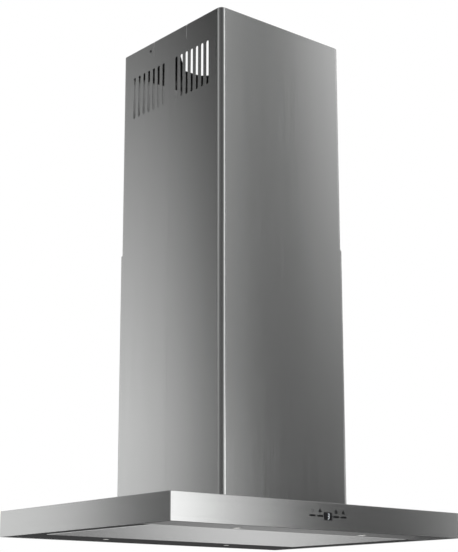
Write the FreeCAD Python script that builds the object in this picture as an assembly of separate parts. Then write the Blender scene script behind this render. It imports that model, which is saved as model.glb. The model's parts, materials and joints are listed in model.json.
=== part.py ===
import FreeCAD, Part
import math
import os

# Island range hood hanging from a ceiling. Millimetres, +Z up.
# The origin is the centre of the ceiling plate's top face, so everything hangs below z = 0.
# The control side faces -Y, and X runs along it.

V = FreeCAD.Vector
X_AXIS = V(1, 0, 0)
Y_AXIS = V(0, 1, 0)
Z_AXIS = V(0, 0, 1)

# ---- driving dimensions ----
TOTAL_H = 1270.0
CANOPY_W = 900.0
CANOPY_D = 680.0
CANOPY_H = 62.0
CANOPY_T = 1.2
LOWER_W = 406.0
LOWER_D = 412.0
LOWER_TOP = -550.0
UPPER_INSET = 2.0
UPPER_BOTTOM = -600.0
CHIMNEY_T = 1.0
BEND_R = 14.0
SEAM_GAP = 0.3
TRAVEL = 300.0

CANOPY_BOTTOM = -TOTAL_H
CANOPY_TOP = CANOPY_BOTTOM + CANOPY_H
UPPER_W = LOWER_W - 2 * UPPER_INSET
UPPER_D = LOWER_D - 2 * UPPER_INSET

# air slots of the upper chimney, in its left and right faces
SLOT_W = 9.2
SLOT_TOP = -72.0
SLOT_BOTTOM = -186.0
SLOT_PITCH = 20.7
SLOT_FIRST_Y = 27.0
SLOT_COUNT = 7
SLIT_Y = 68.0
SLIT_W = 2.5
SLIT_H = 37.0
CHIMNEY_SCREW_Y = 83.0
CHIMNEY_SCREW_Z = -20.0

# ceiling plate
PLATE_T = 3.0
PLATE_GAP = 2.0
OCTAGON_HALF = 161.0
OCTAGON_CUT = 187.0
BOLT_HALF = 150.0
BOLT_HOLE_R = 4.25

# telescopic frame of angle uprights
ANGLE_LEG = 25.0
ANGLE_T = 2.0
FRAME_HALF_X = 196.0
FRAME_HALF_Y = 199.0
NEST_GAP = 0.5
UPPER_FRAME_BOTTOM = -700.0
LOWER_FRAME_TOP = -560.0
BASE_T = 3.0
BASE_HALF_X = 198.0
BASE_HALF_Y = 201.0
ADJUST_BOLT_Y = 185.0
ADJUST_BOLT_R = 2.0
ADJUST_SLOT_HALF = 2.5
ADJUST_BOLT_Z = (-580.0, -640.0)

# inlet opening in the canopy's top
INLET_HALF_X = 170.0
INLET_HALF_Y = 150.0

# underside
UNDER_Z = CANOPY_BOTTOM + 1.5
UNDER_T = 1.0
LIP_W = 10.0
PANEL_HALF_X = 398.0
PANEL_HALF_Y = 210.0
PANEL_GAP = 5.0
PANEL_FLANGE_H = 12.0
FRAME_FLANGE_H = 32.0
HINGE_Y = PANEL_HALF_Y - 4.5
HINGE_Z = UNDER_Z + 4.5
HINGE_PIN_R = 1.5
HINGE_X = 312.0

# grease filters
FILTER_BOTTOM = -1250.5
FILTER_H = 9.0
FILTER_HALF_X = 195.0
FILTER_FRONT = -200.0
FILTER_BACK = 205.0
FILTER_BAR = 12.0
PLEATS = 26
MESH_T = 0.7
FILTER_CENTRES = {"left": -196.0, "right": 196.0}
SHELF_T = 1.0

# lamps
LAMP_X = 196.0
LAMP_Y = 253.0
LAMP_LENS_R = 8.5
LAMP_BEZEL_R = 14.0
LAMP_HOUSING_R = 11.8

# controls in the front fascia
CONTROL_Z = CANOPY_BOTTOM + 31.0
DISPLAY_X = 0.5
DISPLAY_W = 26.0
DISPLAY_H = 17.6
BUTTON_XS = {"lamp": -47.5, "fan_down": -23.8, "fan_up": 26.0, "timer": 49.5}
BUTTON_W = 17.0
BUTTON_H = 4.2
BUTTON_PROUD = 1.0

# blower
BLOWER_X = -74.0
BLOWER_Z = -1075.0
BLOWER_HALF_Y = 102.0
BLOWER_T = 2.0
SCROLL_R0 = 84.0
SCROLL_R1 = 126.0
SCROLL_START = 75.0
OUTLET_HALF_X = 52.0
OUTLET_Z = -930.0
INLET_R = 66.0
WHEEL_R = 76.0
WHEEL_HALF_Y = 74.0
BLADE_DEPTH = 12.0
BLADE_COUNT = 30
SHAFT_R = 4.0
RUN_CLEARANCE = 0.05
MOTOR_R = 40.0

# outlet, damper and duct
PLENUM_HALF_X = 86.0
PLENUM_TOP = -895.0
COLLAR_R = 75.0
COLLAR_T = 1.5
COLLAR_TOP = -850.0
FLAP_Z = -880.0
FLAP_T = 1.2
DUCT_R = 76.5
DUCT_T = 0.8
DUCT_BOTTOM = -880.0
DUCT_TOP = -320.0
DEFLECTOR_HALF = 150.0
DEFLECTOR_BOTTOM = -300.0
DEFLECTOR_TOP = -205.0


# ---- helpers ----
def box(x0, x1, y0, y1, z0, z1):
    return Part.makeBox(x1 - x0, y1 - y0, z1 - z0, V(x0, y0, z0))


def rod(radius, start, end):
    along = end.sub(start)
    return Part.makeCylinder(radius, along.Length, start, along)


def pipe(outer, inner, start, end):
    return rod(outer, start, end).cut(rod(inner, start, end))


def joined(shapes):
    return shapes[0].fuse(shapes[1:]).removeSplitter()


def group(shapes):
    return Part.makeCompound(shapes)


def save(name, shape):
    shape.exportStep("parts/" + name + ".step")


def rounded_prism(width, depth, radius, z0, z1):
    block = box(-width / 2, width / 2, -depth / 2, depth / 2, z0, z1)
    upright = [e for e in block.Edges if abs(e.Vertexes[0].Z - e.Vertexes[-1].Z) > 1e-6]
    return block.makeFillet(radius, upright)


def obround(half_width, centre, half_length, direction, thickness, depth_axis):
    """A slot with round ends: half_length is to the ends, direction is the slot's long way."""
    reach = half_length - half_width
    start = centre.sub(direction * reach)
    end = centre.add(direction * reach)
    side = depth_axis.cross(direction)
    corners = []
    for point, sign in ((start, 1), (end, 1), (end, -1), (start, -1)):
        corners.append(point.add(side * (sign * half_width)))
    far = Part.Arc(corners[1], end.add(direction * half_width), corners[2]).toShape()
    near = Part.Arc(corners[3], start.sub(direction * half_width), corners[0]).toShape()
    edges = [Part.makeLine(corners[0], corners[1]), far, Part.makeLine(corners[2], corners[3]), near]
    face = Part.Face(Part.Wire(edges))
    face.translate(depth_axis * (-thickness / 2))
    return face.extrude(depth_axis * thickness)


def angle_upright(outer_x, outer_y, sign_x, sign_y, z0, z1):
    """An L section whose corner is outward at (outer_x, outer_y)."""
    xs = sorted((sign_x * outer_x, sign_x * (outer_x - ANGLE_LEG)))
    ys = sorted((sign_y * outer_y, sign_y * (outer_y - ANGLE_LEG)))
    leg = box(xs[0], xs[1], ys[0], ys[1], z0, z1)
    xs = sorted((sign_x * (outer_x - ANGLE_T), sign_x * (outer_x - ANGLE_LEG - 1)))
    ys = sorted((sign_y * (outer_y - ANGLE_T), sign_y * (outer_y - ANGLE_LEG - 1)))
    return leg.cut(box(xs[0], xs[1], ys[0], ys[1], z0 - 1, z1 + 1))


CORNERS = {"front_left": (-1, -1), "front_right": (1, -1), "back_left": (-1, 1), "back_right": (1, 1)}


# ---- ceiling side ----
def ceiling_plate():
    half_x = UPPER_W / 2 - CHIMNEY_T - PLATE_GAP
    half_y = UPPER_D / 2 - CHIMNEY_T - PLATE_GAP
    plate = rounded_prism(2 * half_x, 2 * half_y, BEND_R, -PLATE_T, 0)
    low = OCTAGON_CUT - OCTAGON_HALF
    points = []
    for x, y in ((1, 0), (0, 1), (-1, 0), (0, -1)):
        side = V(-y, x, 0)
        middle = V(x, y, 0) * OCTAGON_HALF
        points.append(middle.sub(side * low))
        points.append(middle.add(side * low))
    outline = Part.makePolygon([p.sub(Z_AXIS * (PLATE_T + 1)) for p in points + points[:1]])
    plate = plate.cut(Part.Face(outline).extrude(Z_AXIS * (PLATE_T + 2)))
    for sx, sy in CORNERS.values():
        at = V(sx * BOLT_HALF, sy * BOLT_HALF, -PLATE_T - 1)
        plate = plate.cut(rod(BOLT_HOLE_R, at, at.add(Z_AXIS * (PLATE_T + 2))))
        if sy < 0:
            continue
        # tab that the chimney's back half screws into
        tab_x = sorted((sx * half_x, sx * (half_x - 1.5)))
        tab = box(tab_x[0], tab_x[1], CHIMNEY_SCREW_Y - 10, CHIMNEY_SCREW_Y + 10,
                  CHIMNEY_SCREW_Z - 10, -PLATE_T)
        hole = V(0, CHIMNEY_SCREW_Y, CHIMNEY_SCREW_Z)
        tab = tab.cut(rod(1.9, hole, hole.add(X_AXIS * (sx * UPPER_W))))
        plate = plate.fuse(tab)
    save("ceiling_plate", plate.removeSplitter())


def upper_uprights():
    for corner, (sx, sy) in CORNERS.items():
        upright = angle_upright(FRAME_HALF_X, FRAME_HALF_Y, sx, sy, UPPER_FRAME_BOTTOM, -PLATE_T)
        top = max(ADJUST_BOLT_Z) + TRAVEL + ADJUST_SLOT_HALF + 3
        bottom = min(ADJUST_BOLT_Z) - ADJUST_SLOT_HALF - 3
        centre = V(sx * FRAME_HALF_X, sy * ADJUST_BOLT_Y, (top + bottom) / 2)
        slot = obround(ADJUST_SLOT_HALF, centre, (top - bottom) / 2, Z_AXIS, 4 * ANGLE_T, X_AXIS)
        save("upper_upright_" + corner, upright.cut(slot))


def upper_braces():
    bars = []
    reach_x = FRAME_HALF_X - 6
    reach_y = FRAME_HALF_Y - 6
    frame_low = UPPER_FRAME_BOTTOM
    for sign in (-1, 1):
        ys = sorted((sign * FRAME_HALF_Y, sign * (FRAME_HALF_Y + ANGLE_T)))
        xs = sorted((sign * FRAME_HALF_X, sign * (FRAME_HALF_X + ANGLE_T)))
        bars.append(box(-reach_x, reach_x, ys[0], ys[1], DEFLECTOR_BOTTOM - 10, DEFLECTOR_BOTTOM + 15))
        bars.append(box(-reach_x, reach_x, ys[0], ys[1], frame_low, frame_low + ANGLE_LEG))
        bars.append(box(xs[0], xs[1], -reach_y, reach_y, frame_low, frame_low + ANGLE_LEG))
        # flat strap that carries the deflector
        ys = sorted((sign * DEFLECTOR_HALF, sign * FRAME_HALF_Y))
        bars.append(box(-20, 20, ys[0], ys[1], DEFLECTOR_BOTTOM, DEFLECTOR_BOTTOM + ANGLE_T))
    save("upper_braces", group(bars))


def chimney_half(width, depth, z0, z1, sign):
    """One U-shaped half of a chimney: sign -1 is the front half and +1 the back half."""
    outer = rounded_prism(width, depth, BEND_R, z0, z1)
    inner = rounded_prism(width - 2 * CHIMNEY_T, depth - 2 * CHIMNEY_T, BEND_R - CHIMNEY_T, z0 - 1, z1 + 1)
    ys = sorted((sign * SEAM_GAP / 2, sign * depth))
    return outer.cut(inner).common(box(-width, width, ys[0], ys[1], z0, z1))


def upper_chimney():
    for name, sign in (("front", -1), ("back", 1)):
        half = chimney_half(UPPER_W, UPPER_D, UPPER_BOTTOM, 0, sign)
        cutters = []
        for k in range(SLOT_COUNT):
            centre = V(0, sign * (SLOT_FIRST_Y + k * SLOT_PITCH), (SLOT_TOP + SLOT_BOTTOM) / 2)
            length = (SLOT_TOP - SLOT_BOTTOM) / 2
            cutters.append(obround(SLOT_W / 2, centre, length, Z_AXIS, UPPER_W + 20, X_AXIS))
        y = sign * SLIT_Y
        cutters.append(box(-UPPER_W, UPPER_W, y - SLIT_W / 2, y + SLIT_W / 2, -SLIT_H, 1))
        if sign > 0:
            hole = V(-UPPER_W, CHIMNEY_SCREW_Y, CHIMNEY_SCREW_Z)
            cutters.append(rod(1.9, hole, hole.add(X_AXIS * (2 * UPPER_W))))
        half = half.cut(cutters)
        if sign > 0:
            # joggle behind the seam, so that no light comes through it
            for side in (-1, 1):
                inner = UPPER_W / 2 - CHIMNEY_T
                xs = sorted((side * inner, side * (inner - CHIMNEY_T)))
                half = half.fuse(box(xs[0], xs[1], -12, 12, UPPER_BOTTOM, -PLATE_T - 1))
            half = half.removeSplitter()
        save("upper_chimney_" + name, half)


def upper_stiffeners():
    strips = []
    inner = UPPER_D / 2 - CHIMNEY_T
    for sign in (-1, 1):
        ys = sorted((sign * (inner - 2), sign * inner))
        strips.append(box(-165, 165, ys[0], ys[1], -41, -27))
    save("upper_stiffeners", group(strips))


def chimney_fixings():
    """The back half's screws near the chimney's top, and the spring clips that show through the slits."""
    fixings = []
    face = UPPER_W / 2
    for sx, sy in CORNERS.values():
        if sy > 0:
            at = V(sx * face, CHIMNEY_SCREW_Y, CHIMNEY_SCREW_Z)
            out = X_AXIS * sx
            fixings.append(joined([rod(1.8, at.sub(out * 5), at), rod(3.4, at, at.add(out * 0.9))]))
        xs = sorted((sx * (face - CHIMNEY_T - 1.7), sx * (face - CHIMNEY_T - 0.1)))
        fixings.append(box(xs[0], xs[1], sy * SLIT_Y - 4, sy * SLIT_Y + 4, -SLIT_H - 3, -1))
    save("chimney_fixings", group(fixings))


def air_deflector():
    half = DEFLECTOR_HALF
    tray = box(-half, half, -half, half, DEFLECTOR_BOTTOM, DEFLECTOR_TOP)
    wall = 1.2
    tray = tray.cut(box(-half + wall, half - wall, -half + wall, half - wall,
                        DEFLECTOR_BOTTOM + wall, DEFLECTOR_TOP + 1))
    low = V(0, 0, DUCT_TOP - 25)
    tray = tray.cut(rod(COLLAR_R - COLLAR_T, low, V(0, 0, DEFLECTOR_BOTTOM + 5)))
    spigot = pipe(COLLAR_R, COLLAR_R - COLLAR_T, low, V(0, 0, DEFLECTOR_BOTTOM))
    save("air_deflector", group([joined([tray, splitter_vane()]), spigot]))


def splitter_vane():
    reach = 110.0
    low = DEFLECTOR_BOTTOM + 15
    high = DEFLECTOR_TOP - 3
    points = [V(0, 0, low), V(reach, 0, high), V(reach - 2, 0, high), V(0, 0, low + 2),
              V(2 - reach, 0, high), V(-reach, 0, high), V(0, 0, low)]
    half = DEFLECTOR_HALF - 1.0
    outline = Part.makePolygon([p.sub(Y_AXIS * half) for p in points])
    return Part.Face(outline).extrude(Y_AXIS * (2 * half))


def duct():
    low = V(0, 0, DUCT_BOTTOM)
    high = V(0, 0, DUCT_TOP)
    save("flexible_duct", pipe(DUCT_R, DUCT_R - DUCT_T, low, high))
    for name, z in (("lower", DUCT_BOTTOM + 10), ("upper", DUCT_TOP - 20)):
        band = pipe(DUCT_R + 1.6, DUCT_R + 0.3, V(0, 0, z), V(0, 0, z + 9))
        worm = box(DUCT_R + 1.2, DUCT_R + 9, -9, 9, z + 0.5, z + 8.5)
        save("duct_clamp_" + name, joined([band, worm]))


# ---- frame and chimney that rise and fall with the canopy ----
LOWER_HALF_X = FRAME_HALF_X - ANGLE_T - NEST_GAP
LOWER_HALF_Y = FRAME_HALF_Y - ANGLE_T - NEST_GAP


def lower_uprights():
    for corner, (sx, sy) in CORNERS.items():
        upright = angle_upright(LOWER_HALF_X, LOWER_HALF_Y, sx, sy, CANOPY_TOP + BASE_T, LOWER_FRAME_TOP)
        for z in ADJUST_BOLT_Z:
            hole = V(0, sy * ADJUST_BOLT_Y, z)
            upright = upright.cut(rod(ADJUST_BOLT_R, hole, hole.add(X_AXIS * (sx * CANOPY_W))))
        save("lower_upright_" + corner, upright)


def adjust_bolts():
    bolts = []
    for sx, sy in CORNERS.values():
        for z in ADJUST_BOLT_Z:
            inside = V(sx * (LOWER_HALF_X - ANGLE_T - 3), sy * ADJUST_BOLT_Y, z)
            nut_end = V(sx * (LOWER_HALF_X - ANGLE_T), sy * ADJUST_BOLT_Y, z)
            neck = V(sx * (FRAME_HALF_X + 0.3), sy * ADJUST_BOLT_Y, z)
            head_end = V(sx * (FRAME_HALF_X + 2.6), sy * ADJUST_BOLT_Y, z)
            shank = rod(ADJUST_BOLT_R, inside, head_end)
            bolts.append(joined([shank, rod(4.0, inside, nut_end), rod(4.5, neck, head_end)]))
    save("adjust_bolts", group(bolts))


def base_frame():
    ring = rounded_prism(2 * BASE_HALF_X, 2 * BASE_HALF_Y, BEND_R, CANOPY_TOP, CANOPY_TOP + BASE_T)
    ring = ring.cut(box(-INLET_HALF_X, INLET_HALF_X, -INLET_HALF_Y, INLET_HALF_Y,
                        CANOPY_TOP - 1, CANOPY_TOP + BASE_T + 1))
    save("base_frame", ring)


def lower_braces():
    bars = []
    inner_x = LOWER_HALF_X - ANGLE_T
    inner_y = LOWER_HALF_Y - ANGLE_T
    for sign in (-1, 1):
        ys = sorted((sign * inner_y, sign * (inner_y - ANGLE_T)))
        xs = sorted((sign * inner_x, sign * (inner_x - ANGLE_T)))
        bars.append(box(-inner_x, inner_x, ys[0], ys[1], -905, -880))
        bars.append(box(xs[0], xs[1], ANGLE_T - inner_y, inner_y - ANGLE_T, -875, -850))
    save("lower_braces", group(bars))


def lower_chimney():
    for name, sign in (("front", -1), ("back", 1)):
        save("lower_chimney_" + name, chimney_half(LOWER_W, LOWER_D, CANOPY_TOP, LOWER_TOP, sign))


def chimney_collar():
    width = LOWER_W - 2 * CHIMNEY_T - 0.4
    depth = LOWER_D - 2 * CHIMNEY_T - 0.4
    wall = 1.5
    top = CANOPY_TOP + 20
    outer = rounded_prism(width, depth, BEND_R - CHIMNEY_T - 0.2, CANOPY_TOP, top)
    inner_r = BEND_R - CHIMNEY_T - wall
    inner = rounded_prism(width - 2 * wall, depth - 2 * wall, inner_r, CANOPY_TOP - 1, top + 1)
    save("chimney_collar", outer.cut(inner))


# ---- canopy ----
def canopy_shell():
    shell = rounded_prism(CANOPY_W, CANOPY_D, 2.0, CANOPY_BOTTOM, CANOPY_TOP)
    rim = [e for e in shell.Edges if min(v.Z for v in e.Vertexes) > CANOPY_TOP - 1e-6]
    shell = shell.makeFillet(1.0, rim)
    half_x = CANOPY_W / 2 - CANOPY_T
    half_y = CANOPY_D / 2 - CANOPY_T
    shell = shell.cut(box(-half_x, half_x, -half_y, half_y, CANOPY_BOTTOM + CANOPY_T, CANOPY_TOP - CANOPY_T))
    lip_x = CANOPY_W / 2 - LIP_W
    lip_y = CANOPY_D / 2 - LIP_W
    shell = shell.cut(box(-lip_x, lip_x, -lip_y, lip_y, CANOPY_BOTTOM - 1, CANOPY_BOTTOM + 5))
    shell = shell.cut(box(-INLET_HALF_X, INLET_HALF_X, -INLET_HALF_Y, INLET_HALF_Y,
                          CANOPY_TOP - 5, CANOPY_TOP + 1))
    shell = shell.cut(display_block(0.2, -CANOPY_D / 2 - 5, -CANOPY_D / 2 + 5))
    for x in BUTTON_XS.values():
        centre = V(x, -CANOPY_D / 2, CONTROL_Z)
        shell = shell.cut(obround(BUTTON_H / 2 + 0.3, centre, BUTTON_W / 2 + 0.3, X_AXIS, 10, Y_AXIS))
    save("canopy_shell", shell)


def display_block(grow, y0, y1):
    half_w = DISPLAY_W / 2 + grow
    half_h = DISPLAY_H / 2 + grow
    block = box(DISPLAY_X - half_w, DISPLAY_X + half_w, y0, y1, CONTROL_Z - half_h, CONTROL_Z + half_h)
    along_y = [e for e in block.Edges if abs(e.Vertexes[0].Y - e.Vertexes[-1].Y) > 1e-6]
    return block.makeFillet(2.0 + grow, along_y)


def underside_frame():
    half_x = CANOPY_W / 2 - CANOPY_T - 0.4
    half_y = CANOPY_D / 2 - CANOPY_T - 0.4
    open_x = PANEL_HALF_X + PANEL_GAP
    open_y = PANEL_HALF_Y + PANEL_GAP
    plate = box(-half_x, half_x, -half_y, half_y, UNDER_Z, UNDER_Z + UNDER_T)
    flange = box(-open_x - UNDER_T, open_x + UNDER_T, -open_y - UNDER_T, open_y + UNDER_T,
                 UNDER_Z, UNDER_Z + FRAME_FLANGE_H)
    frame = joined([plate, flange])
    frame = frame.cut(box(-open_x, open_x, -open_y, open_y, UNDER_Z - 1, UNDER_Z + FRAME_FLANGE_H + 1))
    for sx, sy in CORNERS.values():
        at = V(sx * LAMP_X, sy * LAMP_Y, UNDER_Z - 1)
        frame = frame.cut(rod(LAMP_HOUSING_R + 0.2, at, at.add(Z_AXIS * 5)))
    save("underside_frame", frame)


def perimeter_panel():
    top = UNDER_Z + PANEL_FLANGE_H
    tray = box(-PANEL_HALF_X, PANEL_HALF_X, -PANEL_HALF_Y, PANEL_HALF_Y, UNDER_Z, top)
    edges = [e for e in tray.Edges if max(v.Z for v in e.Vertexes) < UNDER_Z + 1e-6]
    tray = tray.makeFillet(0.8, edges)
    wall = UNDER_T
    tray = tray.cut(box(-PANEL_HALF_X + wall, PANEL_HALF_X - wall, -PANEL_HALF_Y + wall,
                        PANEL_HALF_Y - wall, UNDER_Z + wall, top + 1))
    axis_at = V(0, HINGE_Y, HINGE_Z)
    for sign in (-1, 1):
        # notch for the bracket, and the ear that turns on its pin
        xs = sorted((sign * (HINGE_X + 2), sign * (HINGE_X + 9)))
        tray = tray.cut(box(xs[0], xs[1], PANEL_HALF_Y - wall - 1, PANEL_HALF_Y + 1, UNDER_Z + wall, top + 1))
        start = axis_at.add(X_AXIS * (sign * (HINGE_X - 4)))
        end = axis_at.add(X_AXIS * (sign * (HINGE_X - 2)))
        xs = sorted((start.x, end.x))
        foot = box(xs[0], xs[1], HINGE_Y - 3.2, HINGE_Y + 3.2, UNDER_Z + wall / 2, HINGE_Z)
        ear = joined([rod(3.2, start, end), foot])
        tray = tray.fuse(ear).cut(rod(HINGE_PIN_R + RUN_CLEARANCE, start, end))
    save("perimeter_panel", tray.removeSplitter())


def hinge_brackets():
    brackets = []
    back = PANEL_HALF_Y + PANEL_GAP
    for sign in (-1, 1):
        xs = sorted((sign * (HINGE_X + 4), sign * (HINGE_X + 6)))
        eye = rod(3.0, V(xs[0], HINGE_Y, HINGE_Z), V(xs[1], HINGE_Y, HINGE_Z))
        web = box(xs[0], xs[1], HINGE_Y - 3, HINGE_Y + 3, HINGE_Z, HINGE_Z + 11)
        arm = box(xs[0], xs[1], HINGE_Y - 3, back, HINGE_Z + 9.5, FILTER_BOTTOM - SHELF_T)
        pin_inner = V(sign * (HINGE_X - 6), HINGE_Y, HINGE_Z)
        pin = rod(HINGE_PIN_R, pin_inner, V(sign * (HINGE_X + 6), HINGE_Y, HINGE_Z))
        brackets.append(joined([eye, web, arm, pin]))
    save("hinge_brackets", group(brackets))


def panel_magnets():
    blocks = []
    front = -(PANEL_HALF_Y + PANEL_GAP)
    for sign in (-1, 1):
        blocks.append(box(sign * 300 - 15, sign * 300 + 15, front, front + 11,
                          UNDER_Z + PANEL_FLANGE_H + 0.3, FILTER_BOTTOM - SHELF_T))
    save("panel_magnets", group(blocks))


def filter_rails():
    edge = PANEL_HALF_Y + PANEL_GAP
    half_x = PANEL_HALF_X - 4
    low = FILTER_BOTTOM - SHELF_T
    back = box(-half_x, half_x, 195, edge, low, FILTER_BOTTOM)
    front = box(-half_x, half_x, -edge, -203, low, FILTER_BOTTOM)
    save("filter_rails", group([back, front]))


# ---- grease filters ----
LATCH_HALF = 16.0
LATCH_TRAVEL = 6.0
TONGUE_HALF = 10.0


def pleated_mesh(x0, x1, y0, y1, z0, z1):
    """The filter's wire cloth, folded into pleats that run front to back."""
    step = (x1 - x0) / (2 * PLEATS)
    low = []
    high = []
    for k in range(2 * PLEATS + 1):
        rise = (z1 - z0 - MESH_T) * (k % 2)
        low.append(V(x0 + k * step, y0, z0 + rise))
        high.append(V(x0 + k * step, y0, z0 + rise + MESH_T))
    outline = Part.makePolygon(low + high[::-1] + low[:1])
    return Part.Face(outline).extrude(Y_AXIS * (y1 - y0))


def grease_filters():
    meshes = []
    z0 = FILTER_BOTTOM
    z1 = FILTER_BOTTOM + FILTER_H
    for name, x in FILTER_CENTRES.items():
        x0 = x - FILTER_HALF_X
        x1 = x + FILTER_HALF_X
        ring = box(x0, x1, FILTER_FRONT, FILTER_BACK, z0, z1)
        inner = box(x0 + FILTER_BAR, x1 - FILTER_BAR, FILTER_FRONT + FILTER_BAR, FILTER_BACK - FILTER_BAR,
                    z0 - 1, z1 + 1)
        slot = box(x - TONGUE_HALF - 0.4, x + TONGUE_HALF + 0.4, FILTER_FRONT - 1,
                   FILTER_FRONT + FILTER_BAR + 1, z0 - 1, z0 + 2.6)
        save("filter_frame_" + name, ring.cut([inner, slot]))
        mesh = pleated_mesh(x0 + FILTER_BAR, x1 - FILTER_BAR, FILTER_FRONT + FILTER_BAR,
                            FILTER_BACK - FILTER_BAR, z0 + 0.5, z1 - 0.5)
        pocket = box(x - LATCH_HALF - 1, x + LATCH_HALF + 1, FILTER_FRONT, FILTER_FRONT + FILTER_BAR + 19,
                     z0 - 1, z1 + 1)
        meshes.append(mesh.cut(pocket))
        grip_front = FILTER_FRONT + FILTER_BAR + 0.5
        grip = box(x - LATCH_HALF, x + LATCH_HALF, grip_front, grip_front + 10, z0 - 3.5, z0 + 6)
        long_edges = [e for e in grip.Edges if abs(e.Vertexes[0].X - e.Vertexes[-1].X) > 1]
        grip = grip.makeFillet(1.5, long_edges)
        tongue = box(x - TONGUE_HALF, x + TONGUE_HALF, FILTER_FRONT - 7, grip_front + 3, z0 + 0.3, z0 + 2.3)
        save("filter_latch_" + name, joined([grip, tongue]))
    save("filter_meshes", group(meshes))


# ---- lamps ----
def lamps():
    bezels = []
    lenses = []
    housings = []
    for sx, sy in CORNERS.values():
        at = V(sx * LAMP_X, sy * LAMP_Y, UNDER_Z)
        face = at.sub(Z_AXIS * 1.2)
        ring = pipe(LAMP_BEZEL_R, LAMP_LENS_R + 0.2, face, at)
        rim = 2 * math.pi * LAMP_BEZEL_R
        edge = [e for e in ring.Edges if abs(e.Length - rim) < 0.1 and e.Vertexes[0].Z < at.z - 1]
        bezels.append(ring.makeFillet(0.8, edge))
        lenses.append(rod(LAMP_LENS_R, at.sub(Z_AXIS * 0.8), at.add(Z_AXIS * 1.4)))
        body = rod(LAMP_HOUSING_R, at, at.add(Z_AXIS * 30))
        housings.append(body.cut(rod(LAMP_LENS_R + 0.2, at.sub(Z_AXIS), at.add(Z_AXIS * 6))))
    save("lamp_bezels", group(bezels))
    save("lamp_lenses", group(lenses))
    save("lamp_housings", group(housings))


# ---- controls ----
def controls():
    front = -CANOPY_D / 2
    inside = front + CANOPY_T
    window = display_block(0, front, inside)
    window = window.fuse(display_block(1.5, inside, inside + 1.5))
    save("display_window", window.removeSplitter())
    for name, x in BUTTON_XS.items():
        centre = V(x, (front - BUTTON_PROUD + inside) / 2, CONTROL_Z)
        cap = obround(BUTTON_H / 2, centre, BUTTON_W / 2, X_AXIS, BUTTON_PROUD + CANOPY_T + 1, Y_AXIS)
        flange = box(x - BUTTON_W / 2 - 1.2, x + BUTTON_W / 2 + 1.2, inside + 0.3, inside + 1.5,
                     CONTROL_Z - 4, CONTROL_Z + 4)
        stem = box(x - 3, x + 3, inside + 1.4, inside + 3.3, CONTROL_Z - 1.2, CONTROL_Z + 1.2)
        save("button_" + name, joined([cap, flange, stem]))
    board = box(-75, 75, inside + 4.8, inside + 6.4, CONTROL_Z - 17, CONTROL_Z + 17)
    posts = []
    for x in (-68, 68):
        for z in (CONTROL_Z - 12, CONTROL_Z + 12):
            posts.append(rod(3, V(x, inside, z), V(x, inside + 5, z)))
    save("control_board", joined([board] + posts))


# ---- blower ----
def scroll_outline(inset, y):
    """The spiral from the cut-off round to the outlet, as one closed wire at height y."""
    def spiral(degrees):
        share = (degrees - SCROLL_START) / (360 - SCROLL_START)
        radius = SCROLL_R0 + (SCROLL_R1 - SCROLL_R0) * share - inset
        turn = math.radians(degrees)
        return V(BLOWER_X + radius * math.cos(turn), y, BLOWER_Z + radius * math.sin(turn))
    steps = 6
    step = (360 - SCROLL_START) / steps
    edges = []
    for k in range(steps):
        a = SCROLL_START + k * step
        edges.append(Part.Arc(spiral(a), spiral(a + step / 2), spiral(a + step)).toShape())
    last = spiral(360)
    first = spiral(SCROLL_START)
    top = OUTLET_Z + (inset if inset else 0)
    outer_top = V(last.x, y, top)
    inner_top = V(-OUTLET_HALF_X + inset, y, top)
    edges.append(Part.makeLine(last, outer_top))
    edges.append(Part.makeLine(outer_top, inner_top))
    edges.append(Part.makeLine(inner_top, first))
    return Part.Wire(edges)


def blower_scroll():
    outer = Part.Face(scroll_outline(0, -BLOWER_HALF_Y)).extrude(Y_AXIS * (2 * BLOWER_HALF_Y))
    inner_half = BLOWER_HALF_Y - BLOWER_T
    inner = Part.Face(scroll_outline(BLOWER_T, -inner_half)).extrude(Y_AXIS * (2 * inner_half))
    inlets = rod(INLET_R, V(BLOWER_X, -BLOWER_HALF_Y - 1, BLOWER_Z), V(BLOWER_X, BLOWER_HALF_Y + 1, BLOWER_Z))
    shell = outer.cut(inner).cut(inlets)
    for name, sign in (("front", -1), ("back", 1)):
        ys = sorted((sign * SEAM_GAP / 2, sign * (BLOWER_HALF_Y + 1)))
        half = shell.common(box(-400, 400, ys[0], ys[1], CANOPY_TOP, OUTLET_Z))
        save("blower_scroll_" + name, half)


def impeller():
    centre = V(BLOWER_X, 0, BLOWER_Z)
    disc = rod(WHEEL_R, centre, centre.add(Y_AXIS * 2))
    boss = rod(12, centre, centre.add(Y_AXIS * 16))
    shaft = rod(SHAFT_R, centre.sub(Y_AXIS * 95), centre.add(Y_AXIS * 18))
    pieces = [disc, boss, shaft]
    for sign in (-1, 1):
        rim_start = centre.add(Y_AXIS * (sign * WHEEL_HALF_Y))
        rim_end = centre.add(Y_AXIS * (sign * (WHEEL_HALF_Y - 3)))
        pieces.append(pipe(WHEEL_R, WHEEL_R - BLADE_DEPTH, rim_start, rim_end))
    blade = box(BLOWER_X + WHEEL_R - BLADE_DEPTH, BLOWER_X + WHEEL_R - 1, -WHEEL_HALF_Y + 1, WHEEL_HALF_Y - 1,
                BLOWER_Z - 0.6, BLOWER_Z + 0.6)
    blade.rotate(V(BLOWER_X + WHEEL_R - BLADE_DEPTH / 2, 0, BLOWER_Z), Y_AXIS, 22)
    for k in range(BLADE_COUNT):
        turned = blade.copy()
        turned.rotate(centre, Y_AXIS, 360.0 * k / BLADE_COUNT)
        pieces.append(turned)
    save("impeller", pieces[0].fuse(pieces[1:]))


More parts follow.
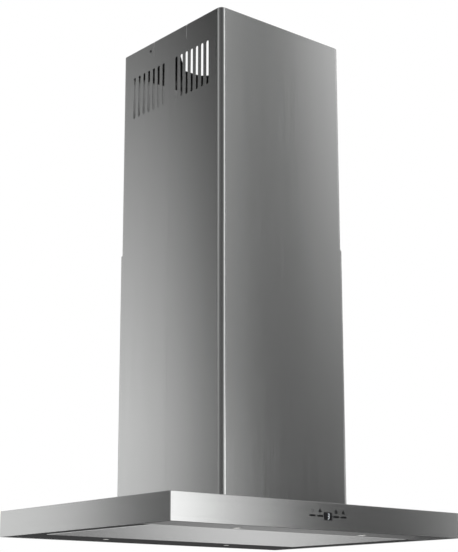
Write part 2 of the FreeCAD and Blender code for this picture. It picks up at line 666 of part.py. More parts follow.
def motor():
    centre = V(BLOWER_X, 0, BLOWER_Z)
    back = centre.sub(Y_AXIS * (BLOWER_HALF_Y + 2))
    nose = centre.sub(Y_AXIS * 8)
    body = rod(MOTOR_R, back, nose)
    body = body.makeFillet(4, [e for e in body.Edges if abs(e.Length - 2 * math.pi * MOTOR_R) < 0.1])
    bore = rod(SHAFT_R + RUN_CLEARANCE, centre.sub(Y_AXIS * 97), centre)
    save("motor", body.cut(bore))
    plate_back = back.sub(Y_AXIS * 2)
    pieces = [rod(30, plate_back, back)]
    mounts = []
    reach = 76.0
    for k in range(3):
        turn = math.radians(90 + 120 * k)
        way = V(math.cos(turn), 0, math.sin(turn))
        arm = box(0, reach + 8, plate_back.y, back.y, -9, 9)
        arm.rotate(V(0, 0, 0), Y_AXIS, -math.degrees(turn))
        arm.translate(V(centre.x, 0, centre.z))
        pieces.append(arm)
        at = centre.add(way * reach)
        mounts.append(rod(5, V(at.x, back.y, at.z), V(at.x, -BLOWER_HALF_Y, at.z)))
    save("motor_bracket", joined(pieces))
    save("motor_mounts", group(mounts))


def blower_supports():
    supports = []
    foot_z = CANOPY_TOP + BASE_T
    for sign in (-1, 1):
        ys = sorted((sign * BLOWER_HALF_Y, sign * (BLOWER_HALF_Y + 1.5)))
        web = box(BLOWER_X - 60, BLOWER_X + 60, ys[0], ys[1], foot_z, -1165)
        ys = sorted((sign * BLOWER_HALF_Y, sign * (BASE_HALF_Y - 30)))
        foot = box(BLOWER_X - 60, BLOWER_X + 60, ys[0], ys[1], foot_z, foot_z + 1.5)
        supports.append(joined([web, foot]))
    save("blower_supports", group(supports))


def outlet_adapter():
    wall = 1.5
    body = box(-PLENUM_HALF_X, PLENUM_HALF_X, -BLOWER_HALF_Y, BLOWER_HALF_Y, OUTLET_Z, PLENUM_TOP)
    body = body.cut(box(wall - PLENUM_HALF_X, PLENUM_HALF_X - wall, wall - BLOWER_HALF_Y,
                        BLOWER_HALF_Y - wall, OUTLET_Z + wall, PLENUM_TOP - wall))
    body = body.cut(box(BLOWER_T - OUTLET_HALF_X, OUTLET_HALF_X - BLOWER_T, BLOWER_T - BLOWER_HALF_Y,
                        BLOWER_HALF_Y - BLOWER_T, OUTLET_Z - 1, OUTLET_Z + 5))
    body = body.cut(rod(COLLAR_R - COLLAR_T, V(0, 0, PLENUM_TOP - 5), V(0, 0, PLENUM_TOP + 1)))
    collar = pipe(COLLAR_R, COLLAR_R - COLLAR_T, V(0, 0, PLENUM_TOP - wall), V(0, 0, COLLAR_TOP))
    stop_top = FLAP_Z - FLAP_T / 2 - 0.3
    stop = pipe(COLLAR_R - COLLAR_T / 2, COLLAR_R - 5, V(0, 0, stop_top - 1.5), V(0, 0, stop_top))
    pin_hole = rod(HINGE_PIN_R, V(0, -COLLAR_R - 1, FLAP_Z), V(0, COLLAR_R + 1, FLAP_Z))
    # the stop ring is notched where the flaps' knuckles turn
    notch = box(-4, 4, 1 - COLLAR_R + COLLAR_T, COLLAR_R - COLLAR_T - 1, stop_top - 3, stop_top + 1)
    save("outlet_adapter", joined([body, collar, stop.cut(notch)]).cut(pin_hole))


def damper():
    end = COLLAR_R - 0.2
    save("damper_pin", rod(HINGE_PIN_R, V(0, -end, FLAP_Z), V(0, end, FLAP_Z)))
    knuckles = {"left": ((-62, -21), (21, 62)), "right": ((-20.5, 20.5),)}
    for name, sign in (("left", -1), ("right", 1)):
        plate = rod(COLLAR_R - COLLAR_T - 0.8, V(0, 0, FLAP_Z - FLAP_T / 2), V(0, 0, FLAP_Z + FLAP_T / 2))
        xs = sorted((sign * 3.5, sign * 100))
        pieces = [plate.common(box(xs[0], xs[1], -100, 100, FLAP_Z - 2, FLAP_Z + 2))]
        for y0, y1 in knuckles[name]:
            pieces.append(rod(3.0, V(0, y0, FLAP_Z), V(0, y1, FLAP_Z)))
            xs = sorted((sign * 2.2, sign * 4))
            pieces.append(box(xs[0], xs[1], y0, y1, FLAP_Z - FLAP_T / 2, FLAP_Z + FLAP_T / 2))
        bore = rod(HINGE_PIN_R + RUN_CLEARANCE, V(0, -80, FLAP_Z), V(0, 80, FLAP_Z))
        save("damper_flap_" + name, joined(pieces).cut(bore))


# ---- electrics ----
def electrics():
    x0, x1 = 98.0, 164.0
    y0, y1 = -110.0, 110.0
    z0 = CANOPY_TOP + BASE_T
    z1 = z0 + 70
    wall = 1.5
    tray = box(x0, x1, y0, y1 + 45, z0, z0 + wall)
    tray = joined([tray, box(x0, x1, y0, y1, z0, z1)])
    tray = tray.cut(box(x0 + wall, x1 - wall, y0 + wall, y1 - wall, z0 + wall, z1 + 1))
    save("electronics_box", tray)
    lid = box(x0, x1, y0, y1, z1, z1 + wall)
    mouth = V((x0 + x1) / 2, y1 - 30, z1)
    save("electronics_lid", lid.cut(rod(8.2, mouth.sub(Z_AXIS), mouth.add(Z_AXIS * 3))))
    nut = Part.makePolygon([mouth.add(V(11 * math.cos(a), 11 * math.sin(a), wall))
                            for a in [math.radians(60 * k) for k in range(7)]])
    gland = joined([Part.Face(nut).extrude(Z_AXIS * 6),
                    rod(8.0, mouth.sub(Z_AXIS * 8), mouth.add(Z_AXIS * 3)),
                    Part.makeCone(9.0, 6.5, 12, mouth.add(Z_AXIS * (wall + 5)))])
    save("cable_gland", gland.cut(rod(4.0, mouth.sub(Z_AXIS * 10), mouth.add(Z_AXIS * 30))))
    block = box(x0 + 15, x0 + 35, y1 - 60, y1 - 12, z0 + wall, z0 + 24)
    screws = []
    for k in range(4):
        at = V(x0 + 25, y1 - 54 + 12 * k, z0 + 18)
        screws.append(rod(3, at, at.add(Z_AXIS * 10)))
    save("terminal_block", block.cut(screws))
    at = V((x0 + x1) / 2, y0 + 22, z1 + wall)
    can = rod(17, at, at.add(Z_AXIS * 55))
    can = can.makeFillet(3, [e for e in can.Edges if e.Vertexes[0].Z > at.z + 50 and e.Length > 90])
    save("capacitor", can)


def main():
    os.makedirs("parts", exist_ok=True)
    ceiling_plate()
    upper_uprights()
    upper_braces()
    upper_chimney()
    upper_stiffeners()
    chimney_fixings()
    air_deflector()
    duct()
    lower_uprights()
    adjust_bolts()
    base_frame()
    lower_braces()
    lower_chimney()
    chimney_collar()
    canopy_shell()
    underside_frame()
    perimeter_panel()
    hinge_brackets()
    panel_magnets()
    filter_rails()
    grease_filters()
    lamps()
    controls()
    blower_scroll()
    impeller()
    motor()
    blower_supports()
    outlet_adapter()
    damper()
    electrics()


main()
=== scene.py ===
import json
import math

import bmesh
import bpy
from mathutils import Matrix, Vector


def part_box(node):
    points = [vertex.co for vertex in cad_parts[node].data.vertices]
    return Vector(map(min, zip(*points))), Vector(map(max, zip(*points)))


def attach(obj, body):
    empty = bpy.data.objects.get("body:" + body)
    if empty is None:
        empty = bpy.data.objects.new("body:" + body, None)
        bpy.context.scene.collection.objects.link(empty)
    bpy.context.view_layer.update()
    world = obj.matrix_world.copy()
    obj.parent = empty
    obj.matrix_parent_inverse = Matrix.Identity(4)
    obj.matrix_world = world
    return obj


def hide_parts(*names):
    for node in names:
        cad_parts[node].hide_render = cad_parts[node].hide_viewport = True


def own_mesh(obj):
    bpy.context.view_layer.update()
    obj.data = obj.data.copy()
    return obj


# Looks for the island range hood. Metres, in the part's own frame: the origin is at the ceiling,
# +Z is up and the control side faces -Y. A node's object sits at the origin, so object
# coordinates in a material are the part's own coordinates.

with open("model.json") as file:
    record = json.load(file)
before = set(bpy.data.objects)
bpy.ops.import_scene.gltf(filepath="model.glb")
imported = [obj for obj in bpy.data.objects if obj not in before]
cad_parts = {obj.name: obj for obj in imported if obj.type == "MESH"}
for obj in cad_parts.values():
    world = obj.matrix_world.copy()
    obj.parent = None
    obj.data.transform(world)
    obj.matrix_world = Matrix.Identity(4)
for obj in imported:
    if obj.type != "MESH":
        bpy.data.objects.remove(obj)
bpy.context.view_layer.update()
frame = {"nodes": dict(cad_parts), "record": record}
NODES = frame["nodes"]

# ---- camera: below the canopy, in front and to the left ----
CAMERA_AT = Vector((-2.141, -2.543, -1.484))
CAMERA_YAW = math.radians(39.636)
CAMERA_PITCH = math.radians(12.536)
SENSOR = 36.0
FOCAL = 87.65
SHIFT_X = 0.0159
SHIFT_Y = 0.095

FLOOR_Z = -2.75
FLOOR_HALF = 7.0

# ---- studio light: upright soft boxes that face the hood ----
# Each is a name, its two edges as (x, y), its lowest and highest z, and its brightness at the
# bottom and at the top. One that fades towards its sides ends with their share of that brightness.
SOFT_BOXES = [
    ("left_low", (-2.36, 2.68), (-0.6, 3.9), -2.4, -0.4, 0.9, 1.0),
    ("left_high", (-2.36, 2.68), (-0.6, 3.9), -0.4, 2.2, 0.95, 0.05),
    ("left_far", (-4.0, -1.5), (-3.9, 0.4), -2.4, 2.4, 0.2, 0.2),
    ("left_side", (-3.9, 0.4), (-3.0, 2.05), -2.4, 2.0, 0.3, 0.6),
    ("front_dim", (1.16, -1.79), (0.95, -1.975), -2.4, 2.0, 0.65, 0.55),
    ("front_bright", (0.95, -1.975), (0.7, -2.195), -2.4, -0.7, 1.9, 1.9),
    ("front_tall", (0.7, -2.195), (0.3, -2.55), -2.4, 2.0, 1.1, 2.2),
    ("front_soft", (0.3, -2.55), (-1.0, -3.7), -2.4, 2.4, 0.55, 0.35),
    ("right_high", (2.15, -2.35), (3.0, -0.8), -1.0, 2.4, 0.05, 1.4),
    ("right_low", (2.72, -2.27), (3.4, -1.0), -2.4, -0.6, 0.4, 0.7),
    ("camera_side", (-1.0, -4.0), (-4.0, -1.5), -2.4, 2.4, 0.1, 0.1),
    ("back_dim", (-0.6, 3.9), (1.55, 3.2), -2.4, 2.0, 0.12, 0.5),
    ("back_bright", (1.55, 3.2), (3.5, 2.57), -2.4, 2.0, 0.45, 0.9, 0.28),
    ("right_side", (3.9, -0.2), (4.2, 1.8), -2.4, 2.0, 1.2, 1.2),
]
OVERHEAD_Z = 2.6
OVERHEAD_SIZE = 3.0
OVERHEAD = 0.4
FILL = 0.9       # even light on painted surfaces and on the floor
AMBIENT = 0.02   # what steel reflects between the soft boxes


# ---- small helpers for node trees ----
def link(tree, source, target):
    tree.links.new(source, target)


def maths(tree, operation, a, b=None):
    node = tree.nodes.new("ShaderNodeMath")
    node.operation = operation
    for slot, value in zip(node.inputs, (a, b)):
        if value is None:
            continue
        if isinstance(value, (int, float)):
            slot.default_value = value
        else:
            link(tree, value, slot)
    return node.outputs[0]


def new_material(name):
    material = bpy.data.materials.new(name)
    material.use_nodes = True
    return material, material.node_tree, material.node_tree.nodes["Principled BSDF"]


def noise(tree, scale, detail=2.0, rough=0.5):
    """Noise in the part's own coordinates. scale is in lumps per metre along X, Y and Z."""
    place = tree.nodes.new("ShaderNodeTexCoord")
    stretch = tree.nodes.new("ShaderNodeMapping")
    stretch.inputs["Scale"].default_value = scale
    link(tree, place.outputs["Object"], stretch.inputs["Vector"])
    texture = tree.nodes.new("ShaderNodeTexNoise")
    texture.inputs["Scale"].default_value = 1.0
    texture.inputs["Detail"].default_value = detail
    texture.inputs["Roughness"].default_value = rough
    link(tree, stretch.outputs["Vector"], texture.inputs["Vector"])
    return texture.outputs["Fac"]


def spread(tree, value, low, high):
    """Maps noise, which keeps to the middle of 0 to 1, on to low to high."""
    node = tree.nodes.new("ShaderNodeMapRange")
    node.inputs["From Min"].default_value = 0.3
    node.inputs["From Max"].default_value = 0.7
    node.inputs["To Min"].default_value = low
    node.inputs["To Max"].default_value = high
    link(tree, value, node.inputs["Value"])
    return node.outputs["Result"]


def two_tone(tree, value, dark, light):
    ramp = tree.nodes.new("ShaderNodeValToRGB")
    ramp.color_ramp.elements[0].position = 0.3
    ramp.color_ramp.elements[0].color = (*dark, 1)
    ramp.color_ramp.elements[1].position = 0.7
    ramp.color_ramp.elements[1].color = (*light, 1)
    link(tree, value, ramp.inputs["Fac"])
    return ramp.outputs["Color"]


def bump(tree, bsdf, height, distance, strength=0.5):
    node = tree.nodes.new("ShaderNodeBump")
    node.inputs["Distance"].default_value = distance
    node.inputs["Strength"].default_value = strength
    link(tree, height, node.inputs["Height"])
    link(tree, node.outputs["Normal"], bsdf.inputs["Normal"])


def shade(colour, factor):
    return tuple(min(1.0, c * factor) for c in colour)


# ---- materials ----
GRAIN_DEPTH = 0.00002
PAINT_GRAIN_DEPTH = 0.00004
MOULD_GRAIN_DEPTH = 0.00003
SPANGLE_PER_METRE = 160.0
# painted shade: the border away from the front is drawn matt and nearly black, and the front border
# reflects only this share edge-on
BORDER_PAINTED_SHADE = (0.05, 0.05, 0.051)
FRONT_BORDER_PAINTED_SHADE = 0.35
# painted highlight: the clips are drawn pale so that the slits show a light line
CLIP_PAINTED_HIGHLIGHT = (0.34, 0.34, 0.34)
SCREW_COLOUR = (0.03, 0.03, 0.032)
CLIP_REACH_Y = 0.075   # the clips lie nearer the middle than this, the screws further out


def brushed(name, colour, grain, streaks, roughness=0.2, variation=0.05):
    """Brushed steel: fine grain for gloss and bump, and wide faint streaks in its tone."""
    material, tree, bsdf = new_material(name)
    fine = noise(tree, grain, 3.0, 0.6)
    wide = noise(tree, streaks, 2.0, 0.5)
    link(tree, two_tone(tree, wide, shade(colour, 1 - variation), shade(colour, 1 + variation)),
         bsdf.inputs["Base Color"])
    link(tree, spread(tree, fine, roughness - 0.02, roughness + 0.03), bsdf.inputs["Roughness"])
    bump(tree, bsdf, fine, GRAIN_DEPTH, 0.1)
    bsdf.inputs["Metallic"].default_value = 1.0
    return material


def shade_edge_on_reflection(material, mask, edge_on):
    """Where mask is 1, lets the steel reflect only this share when it is seen almost edge-on: painted
    shade, which darkens the steel there.
    """
    tree = material.node_tree
    share = maths(tree, "SUBTRACT", 1.0, maths(tree, "MULTIPLY", mask, 1 - edge_on))
    grey = tree.nodes.new("ShaderNodeCombineColor")
    for channel in grey.inputs:
        link(tree, share, channel)
    link(tree, grey.outputs[0], tree.nodes["Principled BSDF"].inputs["Specular Tint"])


def painted(name, colour, roughness):
    material, tree, bsdf = new_material(name)
    grain = noise(tree, (900, 900, 900), 2.0)
    cloud = noise(tree, (14, 14, 14), 2.0)
    tone = two_tone(tree, cloud, shade(colour, 0.88), shade(colour, 1.12))
    link(tree, tone, bsdf.inputs["Base Color"])
    link(tree, spread(tree, cloud, roughness - 0.05, roughness + 0.05), bsdf.inputs["Roughness"])
    bump(tree, bsdf, grain, PAINT_GRAIN_DEPTH, 0.4)
    return material


def galvanised(name, colour):
    """Zinc-coated sheet with its spangle of crystals."""
    material, tree, bsdf = new_material(name)
    place = tree.nodes.new("ShaderNodeTexCoord")
    cells = tree.nodes.new("ShaderNodeTexVoronoi")
    cells.inputs["Scale"].default_value = SPANGLE_PER_METRE
    link(tree, place.outputs["Object"], cells.inputs["Vector"])
    split = tree.nodes.new("ShaderNodeSeparateColor")
    link(tree, cells.outputs["Color"], split.inputs["Color"])
    link(tree, two_tone(tree, split.outputs["Red"], shade(colour, 0.86), shade(colour, 1.1)),
         bsdf.inputs["Base Color"])
    link(tree, spread(tree, split.outputs["Green"], 0.3, 0.46), bsdf.inputs["Roughness"])
    bump(tree, bsdf, split.outputs["Blue"], GRAIN_DEPTH, 0.3)
    bsdf.inputs["Metallic"].default_value = 1.0
    return material


def moulded(name, colour, roughness=0.5, gloss=0.5):
    material, tree, bsdf = new_material(name)
    grain = noise(tree, (1500, 1500, 1500), 2.0)
    cloud = noise(tree, (25, 25, 25), 2.0)
    link(tree, two_tone(tree, cloud, shade(colour, 0.9), shade(colour, 1.1)), bsdf.inputs["Base Color"])
    link(tree, spread(tree, grain, roughness - 0.06, roughness + 0.06), bsdf.inputs["Roughness"])
    bump(tree, bsdf, grain, MOULD_GRAIN_DEPTH, 0.4)
    bsdf.inputs["Specular IOR Level"].default_value = gloss
    return material


def glowing(name, colour, strength, roughness=0.3):
    material, tree, bsdf = new_material(name)
    cloud = noise(tree, (300, 300, 300), 1.0)
    tone = two_tone(tree, cloud, shade(colour, 0.93), shade(colour, 1.0))
    link(tree, tone, bsdf.inputs["Base Color"])
    link(tree, tone, bsdf.inputs["Emission Color"])
    bsdf.inputs["Emission Strength"].default_value = strength
    bsdf.inputs["Roughness"].default_value = roughness
    return material


STEEL = (0.60, 0.605, 0.60)
ZINC = (0.60, 0.62, 0.64)
ALUMINIUM = (0.78, 0.79, 0.80)


def canopy():
    """Brushed along each side. Where it faces down, the narrow lip folded in under the canopy reflects
    nothing edge-on: painted shade that draws a dark line under the fascia.
    """
    material = brushed("canopy_steel", STEEL, (9, 9, 1400), (0.8, 0.8, 120), 0.21, 0.02)
    tree = material.node_tree
    normal = tree.nodes.new("ShaderNodeSeparateXYZ")
    link(tree, tree.nodes.new("ShaderNodeNewGeometry").outputs["Normal"], normal.inputs[0])
    shade_edge_on_reflection(material, maths(tree, "LESS_THAN", normal.outputs["Z"], -0.5), 0.0)
    return material


def border():
    """The border round the filters, all painted shade: along the front, brushed steel drawn darker than
    the other steel and weaker edge-on; elsewhere the steel is drawn matt and nearly black.
    """
    # painted shade: the border's steel is a darker copy of the other steel
    material = brushed("border_steel", shade(STEEL, 0.8), (8, 1400, 200), (0.8, 60, 10), 0.2, 0.05)
    tree = material.node_tree
    bsdf = tree.nodes["Principled BSDF"]
    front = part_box("perimeter_panel")[0].y
    place = tree.nodes.new("ShaderNodeSeparateXYZ")
    link(tree, tree.nodes.new("ShaderNodeTexCoord").outputs["Object"], place.inputs[0])
    at_front = maths(tree, "LESS_THAN", place.outputs["Y"], front)
    shade_edge_on_reflection(material, at_front, FRONT_BORDER_PAINTED_SHADE)
    mix = tree.nodes.new("ShaderNodeMixRGB")
    link(tree, at_front, mix.inputs["Fac"])
    mix.inputs["Color1"].default_value = (*BORDER_PAINTED_SHADE, 1)
    link(tree, bsdf.inputs["Base Color"].links[0].from_socket, mix.inputs["Color2"])
    link(tree, mix.outputs["Color"], bsdf.inputs["Base Color"])
    link(tree, at_front, bsdf.inputs["Metallic"])
    bsdf.inputs["Specular IOR Level"].default_value = 0.0
    return material


def fixings():
    """Blackened screws, and the spring clips behind the slits beside them, drawn pale as a painted
    highlight in the slits.
    """
    material = moulded("dark_fastener", CLIP_PAINTED_HIGHLIGHT, 0.5, 0.2)
    tree = material.node_tree
    bsdf = tree.nodes["Principled BSDF"]
    place = tree.nodes.new("ShaderNodeSeparateXYZ")
    link(tree, tree.nodes.new("ShaderNodeTexCoord").outputs["Object"], place.inputs[0])
    screw = maths(tree, "GREATER_THAN", maths(tree, "ABSOLUTE", place.outputs["Y"]), CLIP_REACH_Y)
    mix = tree.nodes.new("ShaderNodeMixRGB")
    link(tree, screw, mix.inputs["Fac"])
    link(tree, bsdf.inputs["Base Color"].links[0].from_socket, mix.inputs["Color1"])
    mix.inputs["Color2"].default_value = (*SCREW_COLOUR, 1)
    link(tree, mix.outputs["Color"], bsdf.inputs["Base Color"])
    return material


def make_materials():
    upright_grain = (1400, 1400, 8)
    return {
        "chimney_steel": brushed("chimney_steel", STEEL, upright_grain, (40, 40, 0.6), 0.21, 0.012),
        "canopy_steel": canopy(),
        "border_steel": border(),
        "panel_steel": brushed("panel_steel", STEEL, (8, 1400, 200), (0.8, 60, 10), 0.17, 0.05),
        "black_steel": painted("black_steel", (0.012, 0.012, 0.013), 0.5),
        "zinc_steel": galvanised("zinc_steel", ZINC),
        "fastener_steel": brushed("fastener_steel", shade(STEEL, 1.15), (600, 600, 600),
                                  (60, 60, 60), 0.25),
        "dark_fastener": fixings(),
        "aluminium": brushed("aluminium", ALUMINIUM, (700, 40, 700), (60, 6, 60), 0.34),
        "motor_paint": painted("motor_paint", (0.10, 0.105, 0.11), 0.4),
        "capacitor_shell": moulded("capacitor_shell", (0.72, 0.72, 0.70), 0.4),
        "black_plastic": moulded("black_plastic", (0.018, 0.018, 0.019), 0.5),
        "rubber": moulded("rubber", (0.012, 0.012, 0.012), 0.8),
        "board_green": painted("board_green", (0.010, 0.10, 0.035), 0.3),
        "terminal_plastic": moulded("terminal_plastic", (0.62, 0.61, 0.56), 0.45),
        "display_black": moulded("display_black", (0.014, 0.014, 0.015), 0.15),
        "button_dark": moulded("button_dark", (0.008, 0.008, 0.009), 0.35, 0.2),
        "lamp_glass": glowing("lamp_glass", (1.0, 0.98, 0.94), 0.35),
        "digit_light": glowing("digit_light", (0.9, 0.95, 1.0), 0.22),
        "printed_mark": moulded("printed_mark", (0.012, 0.012, 0.013), 0.55, 0.1),
        "printed_faint": moulded("printed_faint", (0.07, 0.07, 0.07), 0.5, 0.1),
    }


MATERIALS = make_materials()


def dress_cad_nodes():
    for entry in frame["record"]["subparts"]:
        material = MATERIALS[entry["material_slot"]]
        slots = NODES[entry["node"]].data.materials
        if len(slots) == 0:
            slots.append(material)
        for index in range(len(slots)):
            slots[index] = material


# ---- new pieces ----
def add_mesh(name, build, material, body):
    mesh = bpy.data.meshes.new(name)
    shape = bmesh.new()
    build(shape)
    bmesh.ops.recalc_face_normals(shape, faces=shape.faces)
    shape.to_mesh(mesh)
    shape.free()
    mesh.materials.append(MATERIALS[material])
    piece = bpy.data.objects.new(name, mesh)
    bpy.context.scene.collection.objects.link(piece)
    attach(piece, body)
    return piece


def flat_plate(shape, outline, y, thickness):
    """A thin closed plate facing -Y, from (x, z) points."""
    front = [shape.verts.new((x, y - thickness, z)) for x, z in outline]
    back = [shape.verts.new((x, y, z)) for x, z in outline]
    shape.faces.new(front)
    shape.faces.new(back[::-1])
    count = len(outline)
    for k in range(count):
        after = (k + 1) % count
        shape.faces.new((front[k], back[k], back[after], front[after]))


def flat_ring(shape, outer, inner, y, thickness):
    count = len(outer)
    rings = []
    for outline, depth in ((outer, thickness), (inner, thickness), (inner, 0), (outer, 0)):
        rings.append([shape.verts.new((x, y - depth, z)) for x, z in outline])
    for a, b in zip(rings, rings[1:] + rings[:1]):
        for k in range(count):
            after = (k + 1) % count
            shape.faces.new((a[k], a[after], b[after], b[k]))


def oval(x, z, half_w, half_h, count=24):
    turns = [2 * math.pi * k / count for k in range(count)]
    return [(x + half_w * math.cos(t), z + half_h * math.sin(t)) for t in turns]


PRINT_T = 0.00005
DIGIT_OFF_MIDDLE = 0.0016   # how far the lit digit is to the right of its window's middle
MARK_RISE = 0.0071          # from a button's top to the middle of its symbol


def display_digit():
    low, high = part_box("display_window")
    face = low.y
    middle_x = (low.x + high.x) / 2 + DIGIT_OFF_MIDDLE
    middle_z = (low.z + high.z) / 2
    half_w = 0.0022
    half_h = 0.0058
    stroke = 0.00045
    gap = 0.0003
    slant = 0.08

    def bar(shape, x0, z0, x1, z1):
        """One segment with pointed ends, leaning with the digit."""
        along = Vector((x1 - x0, z1 - z0)).normalized()
        across = Vector((-along.y, along.x))
        start = Vector((x0, z0)) + along * gap
        end = Vector((x1, z1)) - along * gap
        points = [start, start + (along + across) * stroke, end + (across - along) * stroke,
                  end, end - (along + across) * stroke, start + (along - across) * stroke]
        outline = [(middle_x + p.x + slant * p.y, middle_z + p.y) for p in points]
        flat_plate(shape, outline, face, 2 * PRINT_T)

    def three(shape):
        for z in (half_h, 0, -half_h):
            bar(shape, -half_w, z, half_w, z)
        bar(shape, half_w, half_h, half_w, 0)
        bar(shape, half_w, 0, half_w, -half_h)

    add_mesh("display_digit", three, "digit_light", "hood")


def control_marks():
    """Generic symbols printed on the fascia above the buttons."""
    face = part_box("canopy_shell")[0].y
    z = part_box("button_lamp")[1].z + MARK_RISE

    def middle(button):
        low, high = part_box(button)
        return (low.x + high.x) / 2

    def lamp(shape):
        x = middle("button_lamp")
        bulb_z = z + 0.001
        flat_ring(shape, oval(x, bulb_z, 0.0034, 0.0032), oval(x, bulb_z, 0.0025, 0.0023), face, PRINT_T)
        flat_plate(shape, [(x - 0.0014, z - 0.0042), (x + 0.0014, z - 0.0042), (x + 0.0014, z - 0.0028),
                           (x - 0.0014, z - 0.0028)], face, PRINT_T)

    def fan(shape, x):
        """Three blades round a middle."""
        for turn in (90, 210, 330):
            t = math.radians(turn)
            flat_plate(shape, oval(x + 0.0028 * math.cos(t), z + 0.0026 * math.sin(t), 0.0024, 0.0023),
                       face, PRINT_T)

    def triangle(shape, x):
        """A triangle with a blunt tip."""
        flat_plate(shape, [(x - 0.0052, z - 0.0040), (x + 0.0052, z - 0.0040), (x + 0.0008, z + 0.0050),
                           (x - 0.0008, z + 0.0050)], face, PRINT_T)

    def others(shape):
        fan(shape, middle("button_fan_down"))
        triangle(shape, middle("button_timer"))
        x = middle("button_fan_up")
        flat_ring(shape, oval(x, z, 0.0046, 0.0050), oval(x, z, 0.0010, 0.0014), face, PRINT_T)

    add_mesh("mark_lamp", lamp, "printed_faint", "hood")
    add_mesh("marks_fan_and_timer", others, "printed_mark", "hood")


def corrugated_duct():
    """Foil duct with a ridge about every 12 mm."""
    low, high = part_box("flexible_duct")
    outer = (high.x - low.x) / 2
    ridge_depth = 0.0008
    ridge_pitch = 0.012
    rows_per_ridge = 6
    length = high.z - low.z
    rows = int(length / ridge_pitch) * rows_per_ridge
    around = 64

    def tube(shape):
        rings = []
        for k in range(rows + 1):
            z = low.z + length * k / rows
            radius = outer - ridge_depth * (1 - math.cos(2 * math.pi * k / rows_per_ridge)) / 2
            ring = []
            for j in range(around):
                turn = 2 * math.pi * j / around
                ring.append(shape.verts.new((radius * math.cos(turn), radius * math.sin(turn), z)))
            rings.append(ring)
        for a, b in zip(rings, rings[1:]):
            for j in range(around):
                after = (j + 1) % around
                shape.faces.new((a[j], a[after], b[after], b[j])).smooth = True

    duct = add_mesh("duct_foil", tube, "aluminium", "ceiling_mount")
    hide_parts("flexible_duct")
    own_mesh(duct)


# ---- stage ----
def make_floor():
    mesh = bpy.data.meshes.new("floor")
    half = FLOOR_HALF
    corners = [(x, y, FLOOR_Z) for x, y in ((-half, -half), (half, -half), (half, half), (-half, half))]
    mesh.from_pydata(corners, [], [(0, 1, 2, 3)])
    material, tree, bsdf = new_material("floor_pale")
    cloud = noise(tree, (2, 2, 2), 2.0)
    link(tree, two_tone(tree, cloud, (0.78, 0.78, 0.78), (0.82, 0.82, 0.82)), bsdf.inputs["Base Color"])
    bsdf.inputs["Roughness"].default_value = 0.9
    mesh.materials.append(material)
    floor = bpy.data.objects.new("floor", mesh)
    bpy.context.scene.collection.objects.link(floor)


def add_panel_light(name, place, facing, width, height, bottom, top, sides=1.0):
    """A flat light that fades evenly from its bottom edge to its top, and smoothly to its sides."""
    data = bpy.data.lights.new(name, "AREA")
    data.shape = "RECTANGLE"
    data.size = width
    data.size_y = height
    data.energy = math.pi * width * height
    data.use_nodes = True
    tree = data.node_tree
    place_on_light = tree.nodes.new("ShaderNodeSeparateXYZ")
    link(tree, tree.nodes.new("ShaderNodeNewGeometry").outputs["Parametric"], place_on_light.inputs[0])
    fade = tree.nodes.new("ShaderNodeMapRange")
    fade.inputs["To Min"].default_value = bottom
    fade.inputs["To Max"].default_value = top
    link(tree, place_on_light.outputs["Y"], fade.inputs["Value"])
    off_middle = maths(tree, "MULTIPLY", maths(tree, "SUBTRACT", place_on_light.outputs["X"], 0.5), 2.0)
    across = tree.nodes.new("ShaderNodeMapRange")
    across.interpolation_type = "SMOOTHSTEP"
    across.inputs["To Min"].default_value = 1.0
    across.inputs["To Max"].default_value = sides
    link(tree, maths(tree, "ABSOLUTE", off_middle), across.inputs["Value"])
    strength = maths(tree, "MULTIPLY", fade.outputs["Result"], across.outputs["Result"])
    link(tree, strength, tree.nodes["Emission"].inputs["Strength"])
    light = bpy.data.objects.new(name, data)
    bpy.context.scene.collection.objects.link(light)
    light.location = place
    light.rotation_mode = "QUATERNION"
    light.rotation_quaternion = facing.to_track_quat("-Z", "Y")
    light.visible_camera = False


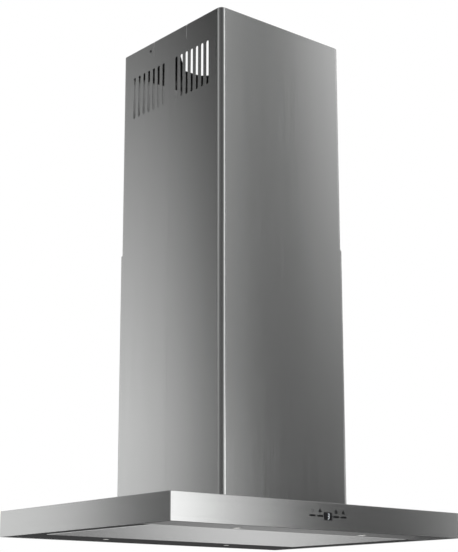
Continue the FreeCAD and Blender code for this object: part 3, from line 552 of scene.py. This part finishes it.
def add_soft_box(name, start, end, low, high, bottom, top, sides=1.0):
    start = Vector(start)
    end = Vector(end)
    along = (end - start).normalized()
    facing = Vector((along.y, -along.x, 0))
    middle = (start + end) / 2
    if facing.dot(middle.to_3d()) > 0:
        facing = -facing
    place = (middle.x, middle.y, (low + high) / 2)
    add_panel_light(name, place, facing, (end - start).length, high - low, bottom, top, sides)


def make_light():
    for soft_box in SOFT_BOXES:
        add_soft_box(*soft_box)
    down = Vector((0, 0, -1))
    add_panel_light("overhead", (0, 0, OVERHEAD_Z), down, OVERHEAD_SIZE, OVERHEAD_SIZE,
                    OVERHEAD, OVERHEAD)
    world = bpy.data.worlds.new("studio")
    bpy.context.scene.world = world
    world.use_nodes = True
    tree = world.node_tree
    tree.nodes.clear()
    path = tree.nodes.new("ShaderNodeLightPath")
    previous = None
    for ray, brightness in ((None, AMBIENT), ("Is Diffuse Ray", FILL), ("Is Camera Ray", 1.0)):
        light = tree.nodes.new("ShaderNodeBackground")
        light.inputs["Color"].default_value = (1, 1, 1, 1)
        light.inputs["Strength"].default_value = brightness
        if ray is None:
            previous = light
            continue
        mix = tree.nodes.new("ShaderNodeMixShader")
        link(tree, path.outputs[ray], mix.inputs[0])
        link(tree, previous.outputs[0], mix.inputs[1])
        link(tree, light.outputs[0], mix.inputs[2])
        previous = mix
    output = tree.nodes.new("ShaderNodeOutputWorld")
    link(tree, previous.outputs[0], output.inputs["Surface"])
    bpy.context.scene.view_settings.view_transform = "Standard"


def make_camera():
    data = bpy.data.cameras.new("camera")
    data.sensor_width = SENSOR
    data.lens = FOCAL
    data.shift_x = SHIFT_X
    data.shift_y = SHIFT_Y
    camera = bpy.data.objects.new("camera", data)
    bpy.context.scene.collection.objects.link(camera)
    look = Vector((math.sin(CAMERA_YAW) * math.cos(CAMERA_PITCH),
                   math.cos(CAMERA_YAW) * math.cos(CAMERA_PITCH), math.sin(CAMERA_PITCH)))
    camera.location = CAMERA_AT
    camera.rotation_mode = "QUATERNION"
    camera.rotation_quaternion = look.to_track_quat("-Z", "Y")
    bpy.context.scene.camera = camera


make_camera()
make_light()
make_floor()
dress_cad_nodes()
display_digit()
control_marks()
corrugated_duct()
